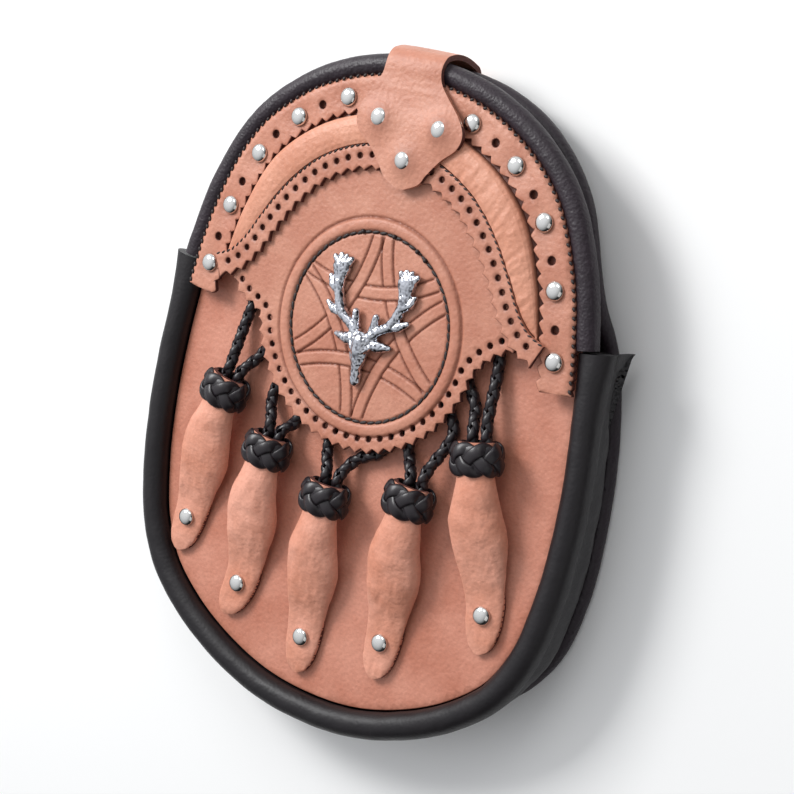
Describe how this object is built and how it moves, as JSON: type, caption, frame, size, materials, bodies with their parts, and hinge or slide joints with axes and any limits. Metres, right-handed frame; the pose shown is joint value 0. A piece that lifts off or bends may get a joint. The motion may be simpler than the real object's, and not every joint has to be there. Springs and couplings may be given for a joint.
{
  "type": "sporran pouch",
  "caption": "Leather sporran pouch with a padded front, a stag's head medallion, a closing tab and hanging leather tassels.",
  "frame": {"origin": "middle of the outline seen from above, on the surface that the pouch's back lies on", "axes": "+Z out of the front, +Y toward the mouth and the tab's fold, +X to the right as the front is seen"},
  "size_m": [0.183, 0.2373, 0.037],
  "materials": {
    "tan_leather": "smooth vegetable-tanned leather, satin",
    "black_leather": "soft grained leather, satin",
    "black_plaited_leather": "plaited flat lace, satin",
    "bright_metal": "polished nickel plate"
  },
  "bodies": {
    "root": {"front_panel": "tan_leather", "yoke": "tan_leather", "outer_band": "tan_leather", "inner_band": "tan_leather", "apron": "tan_leather", "closing_tab": "tan_leather", "tassel_leaf_1": "tan_leather", "tassel_leaf_2": "tan_leather", "tassel_leaf_3": "tan_leather", "tassel_leaf_4": "tan_leather", "tassel_leaf_5": "tan_leather", "front_piping": "black_leather", "gusset": "black_leather", "back_panel": "black_leather", "back_piping": "black_leather", "belt_loop_left": "black_leather", "belt_loop_right": "black_leather", "tassel_cord_1": "black_plaited_leather", "tassel_cord_2": "black_plaited_leather", "tassel_cord_3": "black_plaited_leather", "tassel_cord_4": "black_plaited_leather", "tassel_cord_5": "black_plaited_leather", "tassel_knot_1": "black_plaited_leather", "tassel_knot_2": "black_plaited_leather", "tassel_knot_3": "black_plaited_leather", "tassel_knot_4": "black_plaited_leather", "tassel_knot_5": "black_plaited_leather", "stag_head": "bright_metal", "band_rivet_1": "bright_metal", "band_rivet_2": "bright_metal", "band_rivet_3": "bright_metal", "band_rivet_4": "bright_metal", "band_rivet_5": "bright_metal", "band_rivet_6": "bright_metal", "band_rivet_7": "bright_metal", "band_rivet_8": "bright_metal", "band_rivet_9": "bright_metal", "band_rivet_10": "bright_metal", "tab_rivet_1": "bright_metal", "tab_rivet_2": "bright_metal", "tab_rivet_3": "bright_metal", "tassel_rivet_1": "bright_metal", "tassel_rivet_2": "bright_metal", "tassel_rivet_3": "bright_metal", "tassel_rivet_4": "bright_metal", "tassel_rivet_5": "bright_metal"}
  },
  "joints": []
}
